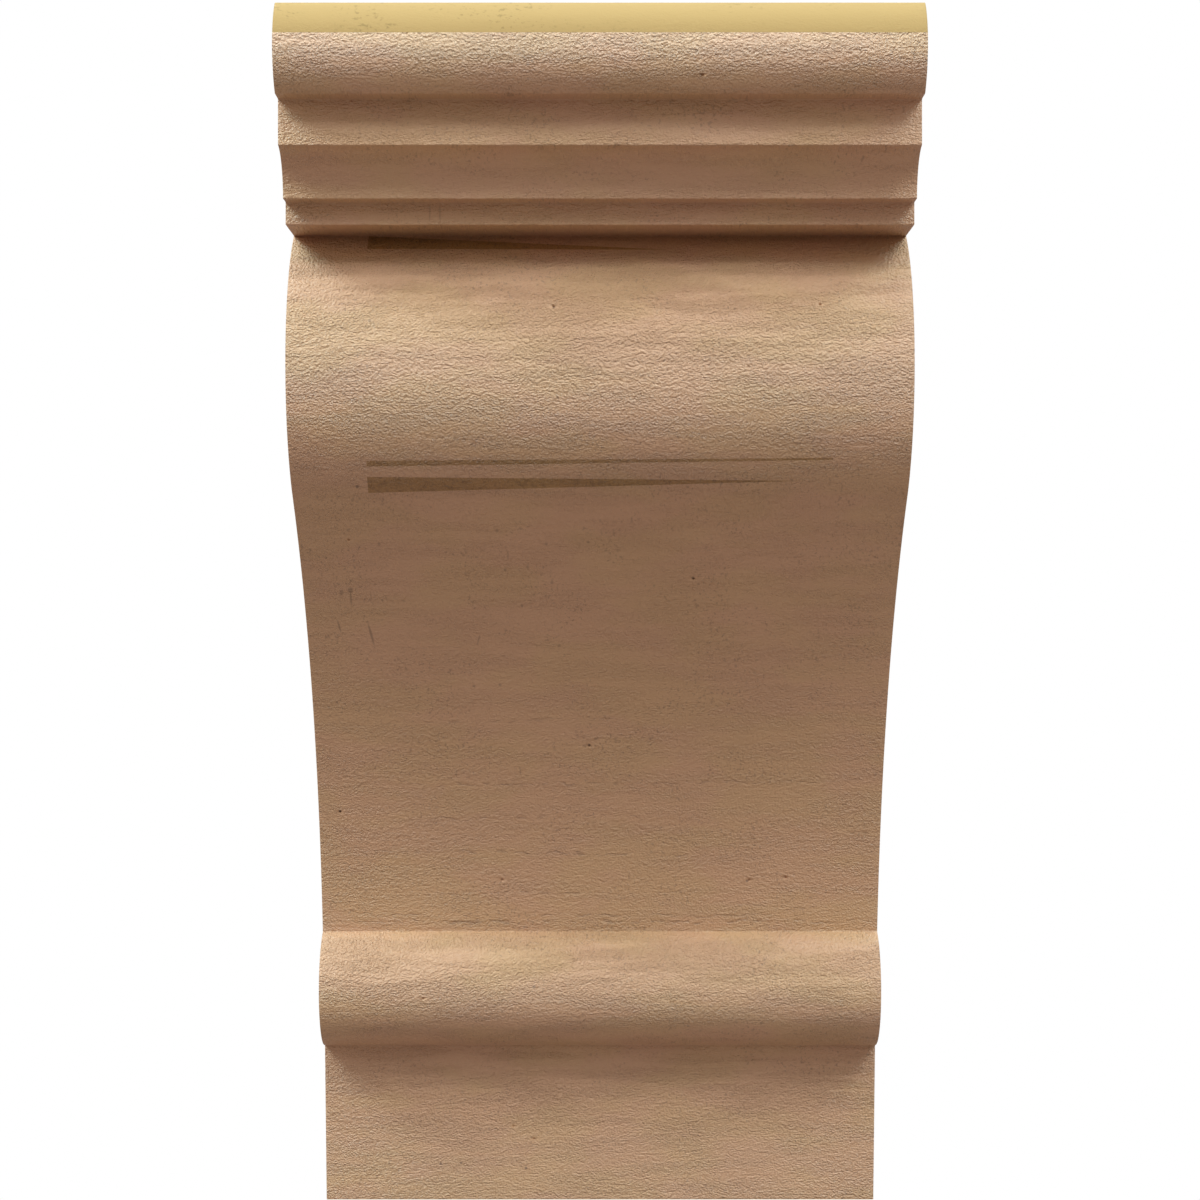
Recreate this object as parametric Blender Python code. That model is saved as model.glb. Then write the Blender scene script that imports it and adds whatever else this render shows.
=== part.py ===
"""A wall corbel: one moulding whose side outline is the same across its whole width.

The back lies on the wall plane y = 0 and the front faces -Y. The origin is the centre of the back,
so the corbel is symmetric in X and reaches as far above the origin as below it. Every size below is
in millimetres. An outline point is (depth, height): depth is measured out from the wall, and height
up from the underside.
"""

import math

import bpy
from mathutils import Matrix, Vector

MM = 0.001

WIDTH = 152.4
HEIGHT = 304.8
DEPTH = 152.4

# Crown: a slab with a bulging face
CROWN_HEIGHT = 21.4
CROWN_FACE_RADIUS = 13.8

# Bed mouldings under the crown, from the top down: a fillet, a cove and a lower fillet
FILLET_DEPTH = 141.4
COVE_FOOT_DEPTH = 131.9
COVE_RADIUS = 11.1
COVE_FOOT_HEIGHT = 261.55
LOWER_FILLET_DEPTH = 126.75
LOWER_FILLET_HEIGHT = 5.4

# Scroll: a bulge above that runs over into a long hollow sweep
BULGE_CENTRE = Vector((86.1, 222.6))
BULGE_RADIUS = 41.25
SWEEP_RADIUS = 204.0
TURN_DEG = -50.07

# Roll across the foot of the sweep
ROLL_CENTRE = Vector((37.1, 60.5))
ROLL_RADIUS = 16.7

# Base block, whose face leans back towards its foot
BLOCK_TOP_DEPTH = 38.3
BLOCK_FOOT_DEPTH = 33.7

# The longest gap between an arc and the straight edges that stand for it
ARC_GAP = 0.02


def half_chord(radius, offset):
    """Half the length of a circle's chord that lies this far from its centre."""
    return math.sqrt(radius**2 - offset**2)


def angle_of(centre, point):
    """The direction of a point from a centre, in radians above the outward direction."""
    away = point - centre
    return math.atan2(away.y, away.x)


def arc(centre, radius, start, end):
    """Points along an arc between two angles in radians, its middle among them, within ARC_GAP."""
    widest_step = 2 * math.acos(1 - ARC_GAP / radius)
    steps = 2 * math.ceil(abs(end - start) / widest_step / 2)
    angles = (start + (end - start) * i / steps for i in range(steps + 1))
    return [centre + radius * Vector((math.cos(a), math.sin(a))) for a in angles]


def circles_meet(first, first_radius, second, second_radius):
    """The upper of the two points where two circles cross."""
    between = second - first
    distance = between.length
    along = (first_radius**2 - second_radius**2 + distance**2) / (2 * distance)
    across = half_chord(first_radius, along)
    unit = between / distance
    foot = first + along * unit
    side = Vector((-unit.y, unit.x)) * across
    return max(foot + side, foot - side, key=lambda point: point.y)


def crown_outline():
    """The bulging face of the crown, from its top edge to its lower edge."""
    centre = Vector((DEPTH - CROWN_FACE_RADIUS, HEIGHT - CROWN_HEIGHT / 2))
    spread = math.asin(CROWN_HEIGHT / 2 / CROWN_FACE_RADIUS)
    return arc(centre, CROWN_FACE_RADIUS, spread, -spread)


def bed_outline():
    """The fillet, the hollow cove and the lower fillet that step in under the crown."""
    cove_centre = Vector((COVE_FOOT_DEPTH + COVE_RADIUS, COVE_FOOT_HEIGHT))
    cove_start = math.acos((FILLET_DEPTH - cove_centre.x) / COVE_RADIUS)
    soffit = COVE_FOOT_HEIGHT - LOWER_FILLET_HEIGHT
    return (
        [Vector((FILLET_DEPTH, HEIGHT - CROWN_HEIGHT))]
        + arc(cove_centre, COVE_RADIUS, cove_start, math.pi)
        + [Vector((LOWER_FILLET_DEPTH, COVE_FOOT_HEIGHT)), Vector((LOWER_FILLET_DEPTH, soffit))]
    )


def scroll_outline():
    """The bulge under the soffit and the hollow sweep that runs down from it to the roll."""
    soffit = COVE_FOOT_HEIGHT - LOWER_FILLET_HEIGHT
    turn = math.radians(TURN_DEG)
    neck = math.asin((soffit - BULGE_CENTRE.y) / BULGE_RADIUS)
    between = (BULGE_RADIUS + SWEEP_RADIUS) * Vector((math.cos(turn), math.sin(turn)))
    sweep_centre = BULGE_CENTRE + between
    foot = circles_meet(sweep_centre, SWEEP_RADIUS, ROLL_CENTRE, ROLL_RADIUS)
    foot_angle = angle_of(sweep_centre, foot)
    bulge = arc(BULGE_CENTRE, BULGE_RADIUS, neck, turn)
    sweep = arc(sweep_centre, SWEEP_RADIUS, math.pi + turn, foot_angle)
    return bulge + sweep[1:], foot


def roll_outline(start):
    """The roll, from the foot of the sweep round to the face of the block."""
    block_angle = -math.acos((BLOCK_TOP_DEPTH - ROLL_CENTRE.x) / ROLL_RADIUS)
    return arc(ROLL_CENTRE, ROLL_RADIUS, angle_of(ROLL_CENTRE, start), block_angle)


def side_outline():
    """The whole outline, from the top of the back round the front to the foot of the back."""
    scroll, foot = scroll_outline()
    return (
        [Vector((0, HEIGHT))]
        + crown_outline()
        + bed_outline()
        + scroll
        + roll_outline(foot)[1:]
        + [Vector((BLOCK_FOOT_DEPTH, 0)), Vector((0, 0))]
    )


def urethane():
    """Rigid moulded urethane under a tan primer: matt, with no metal in it."""
    material = bpy.data.materials.new("tan_primed_urethane")
    material.use_nodes = True
    shader = material.node_tree.nodes["Principled BSDF"]
    shader.inputs["Base Color"].default_value = (0.53, 0.36, 0.24, 1)
    shader.inputs["Roughness"].default_value = 0.62
    shader.inputs["Metallic"].default_value = 0
    return material


def corbel():
    """The moulding: its side outline as a flat curve, extruded by half the width to each side."""
    curve = bpy.data.curves.new("corbel", "CURVE")
    curve.dimensions = "2D"
    curve.fill_mode = "BOTH"
    curve.extrude = WIDTH / 2 * MM
    points = side_outline()
    spline = curve.splines.new("POLY")
    spline.points.add(len(points) - 1)
    for slot, point in zip(spline.points, points):
        slot.co = (point.x * MM, (point.y - HEIGHT / 2) * MM, 0, 1)
    spline.use_cyclic_u = True
    curve.materials.append(urethane())
    # The curve's own plane stands upright, with its depth towards -Y and its height towards +Z
    upright = Matrix(((0, 0, -1, 0), (-1, 0, 0, 0), (0, 1, 0, 0), (0, 0, 0, 1)))
    obj = bpy.data.objects.new("corbel", curve)
    obj.matrix_world = upright
    return obj


def main():
    for old in list(bpy.data.objects):
        bpy.data.objects.remove(old, do_unlink=True)
    collection = bpy.data.collections.new("corbel")
    bpy.context.scene.collection.children.link(collection)
    collection.objects.link(corbel())


main()
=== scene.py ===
"""Dresses the wall corbel and lights it: one moulding of rigid urethane under a tan primer.

The back lies on the plane y = 0, the front faces -Y and the origin is the middle of the back. Sizes are
in millimetres. An outline point is (depth, height): depth is measured out from the wall, and height up
from the underside. The outline is the same across the whole width.
"""

import logging
import math
from collections.abc import Mapping
from dataclasses import dataclass
from enum import Enum

import bmesh
import bpy
import numpy as np
from bpy.types import Material, Node, NodeSocket, NodeTree, Object
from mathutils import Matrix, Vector, noise
from mathutils.geometry import delaunay_2d_cdt


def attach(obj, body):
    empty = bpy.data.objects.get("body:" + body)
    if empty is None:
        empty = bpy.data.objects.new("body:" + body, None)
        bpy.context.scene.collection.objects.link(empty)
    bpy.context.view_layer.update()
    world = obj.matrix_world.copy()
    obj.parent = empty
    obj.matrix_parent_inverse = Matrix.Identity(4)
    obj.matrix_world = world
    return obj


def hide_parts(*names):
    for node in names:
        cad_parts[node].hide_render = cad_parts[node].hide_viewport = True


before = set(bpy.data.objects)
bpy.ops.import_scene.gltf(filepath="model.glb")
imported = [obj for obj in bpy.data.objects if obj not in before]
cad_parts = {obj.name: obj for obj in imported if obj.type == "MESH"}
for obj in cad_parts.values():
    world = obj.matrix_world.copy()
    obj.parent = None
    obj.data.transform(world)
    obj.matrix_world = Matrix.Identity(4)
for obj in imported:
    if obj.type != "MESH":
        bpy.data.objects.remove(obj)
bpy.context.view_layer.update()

LOG = logging.getLogger("corbel")
MM = 0.001
BODY = "root"
CAD_NODE = "corbel"
# The moulding's points carry the share of the full relief under this name
ROUGHNESS = "skin_roughness"
# What the points of the outline and of the path carry besides, for the sweep alone
CARRIED = {"spot": "FLOAT_VECTOR", "outward": "FLOAT_VECTOR", "across": "FLOAT", "inset": "FLOAT"}
# The places of a colour mix's inputs and of its result, which share their names with unused ones
MIX_SHARE, MIX_FIRST, MIX_SECOND = 0, 6, 7
MIX_RESULT = 2


def linear(colour: str) -> tuple[float, float, float, float]:
    """Turns an sRGB hex colour into a linear one.

    Args:
        colour: The colour as a hash and six hex digits.

    Returns:
        Linear red, green and blue, and full alpha.
    """
    shares = [int(colour[i : i + 2], 16) / 255 for i in (1, 3, 5)]
    red, green, blue = (s / 12.92 if s <= 0.04045 else ((s + 0.055) / 1.055) ** 2.4 for s in shares)
    return red, green, blue, 1.0


def add_node(
    tree: NodeTree,
    kind: str,
    inputs: Mapping[str | int, object] | None = None,
    **settings: object,
) -> Node:
    """Adds a node with its settings and fills its inputs.

    Args:
        tree: The node tree that gets the node.
        kind: The node's type name.
        inputs: For each input, by name or place: a value, an output to link, or a node whose first
            output is linked.
        **settings: The node's own properties.

    Returns:
        The new node.
    """
    node = tree.nodes.new(kind)
    for name, value in settings.items():
        setattr(node, name, value)
    for key, value in (inputs or {}).items():
        source = value.outputs[0] if isinstance(value, Node) else value
        if isinstance(source, NodeSocket):
            tree.links.new(source, node.inputs[key])
        else:
            node.inputs[key].default_value = source
    return node


def half_chord(radius: float, offset: float) -> float:
    """Half the length of a circle's chord that lies this far from its centre."""
    return math.sqrt(radius**2 - offset**2)


def angle_of(centre: Vector, point: Vector) -> float:
    """The direction of a point from a centre, in radians above the outward direction."""
    away = point - centre
    return math.atan2(away.y, away.x)


def arc(centre: Vector, radius: float, start: float, end: float) -> list[Vector]:
    """Points along an arc, so close that the straight steps between them don't show.

    Args:
        centre: The arc's centre.
        radius: Its radius.
        start: The angle that it starts at, in radians.
        end: The angle that it ends at.

    Returns:
        The points, both ends among them.
    """
    longest_step = 0.1
    steps = math.ceil(abs(end - start) * radius / longest_step)
    angles = (start + (end - start) * i / steps for i in range(steps + 1))
    return [centre + radius * Vector((math.cos(a), math.sin(a))) for a in angles]


def circles_meet(first: Vector, first_radius: float, second: Vector, second_radius: float) -> Vector:
    """Finds where two circles cross.

    Args:
        first: The centre of one circle.
        first_radius: Its radius.
        second: The centre of the other.
        second_radius: Its radius.

    Returns:
        The upper of the two crossings.
    """
    between = second - first
    distance = between.length
    along = (first_radius**2 - second_radius**2 + distance**2) / (2 * distance)
    unit = between / distance
    foot = first + along * unit
    side = Vector((-unit.y, unit.x)) * half_chord(first_radius, along)
    return max(foot + side, foot - side, key=lambda point: point.y)


def walk(corners: list[Vector], step: float) -> np.ndarray:
    """Walks along a line of corners in even steps.

    Args:
        corners: The line's corners.
        step: The length of a step.

    Returns:
        One row for each step, from the first corner on. The last corner is left out.
    """
    line = np.array([tuple(corner) for corner in corners])
    reach = np.concatenate([[0], np.cumsum(np.linalg.norm(np.diff(line, axis=0), axis=1))])
    steps = np.linspace(0, reach[-1], max(1, round(reach[-1] / step)), endpoint=False)
    return np.stack([np.interp(steps, reach, line[:, axis]) for axis in (0, 1)], axis=1)


def worn(loop: np.ndarray, reach: float) -> np.ndarray:
    """Averages each row of a closed loop with its neighbours, by a bell curve.

    Args:
        loop: One row for each step of the loop.
        reach: The bell curve's standard deviation, in steps.

    Returns:
        The averaged rows.
    """
    # Past four deviations the bell is as good as flat
    ends = math.ceil(4 * reach)
    bell = np.exp(-0.5 * (np.arange(-ends, ends + 1) / reach) ** 2)
    padded = np.concatenate([loop[-ends:], loop, loop[:ends]])
    columns = [np.convolve(column, bell / bell.sum(), "valid") for column in padded.T]
    return np.stack(columns, axis=1)


class Skin(Enum):
    """How rough a stretch of the outline came out of its mould, as a share of the full relief."""

    ROUGH = 1.0
    SAWN = 0.85
    PLANED = 0.62
    FLAT = 0.3
    SMOOTH = 0.12


@dataclass(frozen=True)
class Run:
    """One stretch of the outline.

    Attributes:
        corners: Its corners or arc points, the last one shared with the next run.
        spacing: The distance between its stations.
        skin: How rough it is.
    """

    corners: list[Vector]
    spacing: float
    skin: Skin


@dataclass(frozen=True)
class Stations:
    """Places round the outline where the mesh has a row of points.

    Attributes:
        spots: Depth and height of each.
        outward: The way out of the solid at each, as depth and height.
        relief: How deep the surface may swell and dip at each, from 0 to 1.
    """

    spots: np.ndarray
    outward: np.ndarray
    relief: np.ndarray


@dataclass(frozen=True)
class SideOutline:
    """The outline that every slice across the corbel has.

    From the top it has a crown with a bulging face, a fillet, a cove, a lower fillet, a scroll that bulges
    out and runs over into a long hollow sweep, a roll, and a base block whose face leans back.

    Attributes:
        height: The height of the whole.
        depth: How far the crown reaches out from the wall.
        crown_height: The height of the crown.
        crown_face_radius: The radius of its bulging face.
        fillet_depth: How far the fillet under the crown reaches out.
        cove_foot_depth: How far the foot of the cove reaches out.
        cove_radius: The radius of the cove.
        cove_foot_height: The height of its foot.
        lower_fillet_depth: How far the lower fillet reaches out.
        lower_fillet_height: The height of its face.
        bulge_centre: The centre of the scroll's bulge.
        bulge_radius: Its radius.
        sweep_radius: The radius of the hollow sweep.
        turn_deg: Where the bulge turns into the sweep, in degrees above the outward direction.
        roll_centre: The centre of the roll.
        roll_radius: Its radius.
        block_top_depth: How far the block's face reaches out at its top.
        block_foot_depth: How far it does at its foot.
        corner_wear: How much every corner is worn, to a radius of about 0.25 mm.
    """

    height: float = 304.8
    depth: float = 152.4
    crown_height: float = 21.4
    crown_face_radius: float = 13.8
    fillet_depth: float = 141.4
    cove_foot_depth: float = 131.9
    cove_radius: float = 11.1
    cove_foot_height: float = 261.55
    lower_fillet_depth: float = 126.75
    lower_fillet_height: float = 5.4
    bulge_centre: Vector = Vector((86.1, 222.6))
    bulge_radius: float = 41.25
    sweep_radius: float = 204.0
    turn_deg: float = -50.07
    roll_centre: Vector = Vector((37.1, 60.5))
    roll_radius: float = 16.7
    block_top_depth: float = 38.3
    block_foot_depth: float = 33.7
    corner_wear: float = 0.2

    def crown(self) -> list[Vector]:
        """Draws the bulging face of the crown.

        Returns:
            Its points, from its top edge to its lower edge.
        """
        centre = Vector((self.depth - self.crown_face_radius, self.height - self.crown_height / 2))
        spread = math.asin(self.crown_height / 2 / self.crown_face_radius)
        return arc(centre, self.crown_face_radius, spread, -spread)

    def soffit_height(self) -> float:
        """The height of the small soffit that the scroll comes out from."""
        return self.cove_foot_height - self.lower_fillet_height

    def beds(self) -> list[Vector]:
        """Draws the fillet, the hollow cove and the lower fillet that step in under the crown.

        Returns:
            Their points, from the foot of the crown down to the soffit.
        """
        cove_centre = Vector((self.cove_foot_depth + self.cove_radius, self.cove_foot_height))
        cove_start = math.acos((self.fillet_depth - cove_centre.x) / self.cove_radius)
        return (
            [Vector((self.fillet_depth, self.height - self.crown_height))]
            + arc(cove_centre, self.cove_radius, cove_start, math.pi)
            + [Vector((self.lower_fillet_depth, self.cove_foot_height))]
            + [Vector((self.lower_fillet_depth, self.soffit_height()))]
        )

    def bulge(self) -> list[Vector]:
        """The scroll's bulge, from the soffit to where it turns hollow."""
        neck = math.asin((self.soffit_height() - self.bulge_centre.y) / self.bulge_radius)
        return arc(self.bulge_centre, self.bulge_radius, neck, math.radians(self.turn_deg))

    def sweep(self) -> list[Vector]:
        """Draws the scroll's hollow sweep.

        Returns:
            Its points, from the turn down to where it meets the roll.
        """
        turn = math.radians(self.turn_deg)
        between = (self.bulge_radius + self.sweep_radius) * Vector((math.cos(turn), math.sin(turn)))
        centre = self.bulge_centre + between
        foot = circles_meet(centre, self.sweep_radius, self.roll_centre, self.roll_radius)
        return arc(centre, self.sweep_radius, math.pi + turn, angle_of(centre, foot))

    def roll(self, foot: Vector) -> list[Vector]:
        """The roll, from the foot of the sweep round to the face of the block."""
        block_angle = -math.acos((self.block_top_depth - self.roll_centre.x) / self.roll_radius)
        return arc(self.roll_centre, self.roll_radius, angle_of(self.roll_centre, foot), block_angle)

    def runs(self) -> list[Run]:
        """Splits the outline into its runs.

        Returns:
            The runs in order, from the top of the back round the front to the back again.
        """
        crown = self.crown()
        beds = self.beds()
        bulge = self.bulge()
        sweep = self.sweep()
        roll = self.roll(sweep[-1])
        back_top = Vector((0, self.height))
        block_foot = Vector((self.block_foot_depth, 0))
        back_foot = Vector((0, 0))
        return [
            Run([back_top, crown[0]], 4.0, Skin.SMOOTH),
            Run(crown, 0.55, Skin.ROUGH),
            Run([crown[-1]] + beds + [bulge[0]], 0.62, Skin.PLANED),
            Run(bulge, 0.55, Skin.ROUGH),
            Run(sweep, 0.75, Skin.PLANED),
            Run(roll, 0.5, Skin.ROUGH),
            Run([roll[-1], block_foot], 0.6, Skin.SAWN),
            Run([block_foot, back_foot], 3.0, Skin.FLAT),
            Run([back_foot, back_top], 9.0, Skin.FLAT),
        ]

    def stations(self) -> Stations:
        """Places the stations, closer together where the outline bends.

        Returns:
            The stations, in order round the closed outline.
        """
        step = 0.1
        # Between two stations the outline turns by this many radians at most
        turn_step = 0.3
        runs = self.runs()
        walks = [walk(run.corners, step) for run in runs]
        spots = worn(np.concatenate(walks), self.corner_wear / step)
        along = np.roll(spots, -1, axis=0) - np.roll(spots, 1, axis=0)
        along /= np.linalg.norm(along, axis=1, keepdims=True)
        outward = np.stack([-along[:, 1], along[:, 0]], axis=1)
        bends = np.arccos(np.clip((along * np.roll(along, -1, axis=0)).sum(axis=1), -1, 1))
        spacings = np.concatenate([np.full(len(w), run.spacing) for w, run in zip(walks, runs)])
        relief = np.concatenate([np.full((len(w), 1), run.skin.value) for w, run in zip(walks, runs)])
        reached = np.concatenate([[0], np.cumsum(step / spacings + bends / turn_step)])
        count = round(reached[-1])
        at = np.interp(np.arange(count) * reached[-1] / count, reached, np.arange(len(reached)))
        rows = np.concatenate([spots, outward, worn(relief, 1 / step)], axis=1)
        closed = np.concatenate([rows, rows[:1]])
        picked = np.stack([np.interp(at, np.arange(len(closed)), column) for column in closed.T], axis=1)
        return Stations(picked[:, :2], picked[:, 2:4], picked[:, 4])


@dataclass(frozen=True)
class Pattern:
    """A noise pattern on the surface.

    Attributes:
        sizes: The size of its lumps across the corbel, in depth and upwards, in millimetres.
        low: The noise value that counts as 0.
        high: The noise value that counts as 1.
        detail: How many finer layers it has.
        seed: Moves the pattern, so that two of one size differ.
        layer_share: The strength of each finer layer as a share of the one before.
    """

    sizes: tuple[float, float, float]
    low: float
    high: float
    detail: float = 2.0
    seed: float = 0.0
    layer_share: float = 0.55

    def strength(self, tree: NodeTree, spot: NodeSocket, floor: float = 0.0) -> NodeSocket:
        """Draws the pattern.

        Args:
            tree: The material's tree.
            spot: The place in millimetres.
            floor: Its least strength.

        Returns:
            Its strength, from the least up to 1.
        """
        shares = [1 / size for size in self.sizes]
        scaled = add_node(
            tree,
            "ShaderNodeVectorMath",
            {0: spot, 1: shares, 2: (self.seed,) * 3},
            operation="MULTIPLY_ADD",
        )
        field = add_node(
            tree,
            "ShaderNodeTexNoise",
            {"Vector": scaled, "Scale": 1.0, "Detail": self.detail, "Roughness": self.layer_share},
        )
        strength = add_node(
            tree,
            "ShaderNodeMapRange",
            {"Value": field, "From Min": self.low, "From Max": self.high, "To Min": floor},
            interpolation_type="SMOOTHSTEP",
        )
        return strength.outputs[0]


@dataclass(frozen=True)
class Wedge:
    """A long stain that narrows towards one end, as seen from the front.

    Attributes:
        start: Its wide end, across the corbel from the middle.
        low: The height of the wide end's lower corner above the origin.
        high: The height of its upper corner.
        tip: Its narrow end, across the corbel.
        tip_height: The height of the narrow end's middle.
        tip_share: The narrow end's breadth as a share of the wide end's.
    """

    start: float
    low: float
    high: float
    tip: float
    tip_height: float
    tip_share: float = 0.0

    def mask(self, tree: NodeTree, spot: NodeSocket) -> NodeSocket:
        """Covers the stain.

        Args:
            tree: The material's tree.
            spot: The place in millimetres.

        Returns:
            1 inside it and 0 outside.
        """
        axes = add_node(tree, "ShaderNodeSeparateXYZ", {0: spot}).outputs
        run = {"Value": axes["X"], "From Min": self.start, "From Max": self.tip}
        half = (self.high - self.low) / 2
        ends = {"To Min": self.low + half, "To Max": self.tip_height}
        middle = add_node(tree, "ShaderNodeMapRange", run | ends)
        reaches = {"To Min": half, "To Max": half * self.tip_share}
        reach = add_node(tree, "ShaderNodeMapRange", run | reaches)
        beside = add_node(tree, "ShaderNodeMath", {0: axes["Z"], 1: middle, 2: reach}, operation="COMPARE")
        along = add_node(
            tree,
            "ShaderNodeMath",
            {0: axes["X"], 1: (self.start + self.tip) / 2, 2: (self.tip - self.start) / 2},
            operation="COMPARE",
        )
        return add_node(tree, "ShaderNodeMath", {0: beside, 1: along}, operation="MULTIPLY").outputs[0]


@dataclass(frozen=True)
class Mark:
    """A scrape, a crease or a speck, as seen from the front.

    Attributes:
        start: One of its ends, across the corbel and above the origin.
        end: Its other end.
        breadth: Its breadth.
        strength: How strongly it shows, from 0 to 1.
    """

    start: tuple[float, float]
    end: tuple[float, float]
    breadth: float
    strength: float

    def mask(self, tree: NodeTree, spot: NodeSocket) -> NodeSocket:
        """Covers the mark.

        Args:
            tree: The material's tree.
            spot: The place in millimetres.

        Returns:
            The mark's strength inside it and 0 outside.
        """
        # The mark counts at every depth, so its own unit of depth is far longer than the corbel
        any_depth = 1e6
        core, rim = 0.4, 1.3
        across, rise = self.end[0] - self.start[0], self.end[1] - self.start[1]
        own = add_node(
            tree,
            "ShaderNodeMapping",
            {
                "Vector": spot,
                "Location": (self.start[0] + across / 2, 0.0, self.start[1] + rise / 2),
                "Rotation": (0.0, math.atan2(across, rise), 0.0),
                "Scale": (self.breadth / 2, any_depth, math.hypot(across, rise) / 2),
            },
            vector_type="TEXTURE",
        )
        away = add_node(tree, "ShaderNodeVectorMath", {0: own}, operation="LENGTH").outputs["Value"]
        inside = add_node(
            tree,
            "ShaderNodeMapRange",
            {"Value": away, "From Min": core, "From Max": rim, "To Min": self.strength, "To Max": 0.0},
            interpolation_type="SMOOTHSTEP",
        )
        return inside.outputs[0]


def dark_spot(across: float, height: float, strength: float = 0.5) -> Mark:
    """A round dark spot just under a millimetre wide: a speck in the primer, or painted shade in a pinhole.
    """
    half, breadth = 0.4, 0.9
    return Mark((across, height - half), (across, height + half), breadth, strength)


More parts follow.
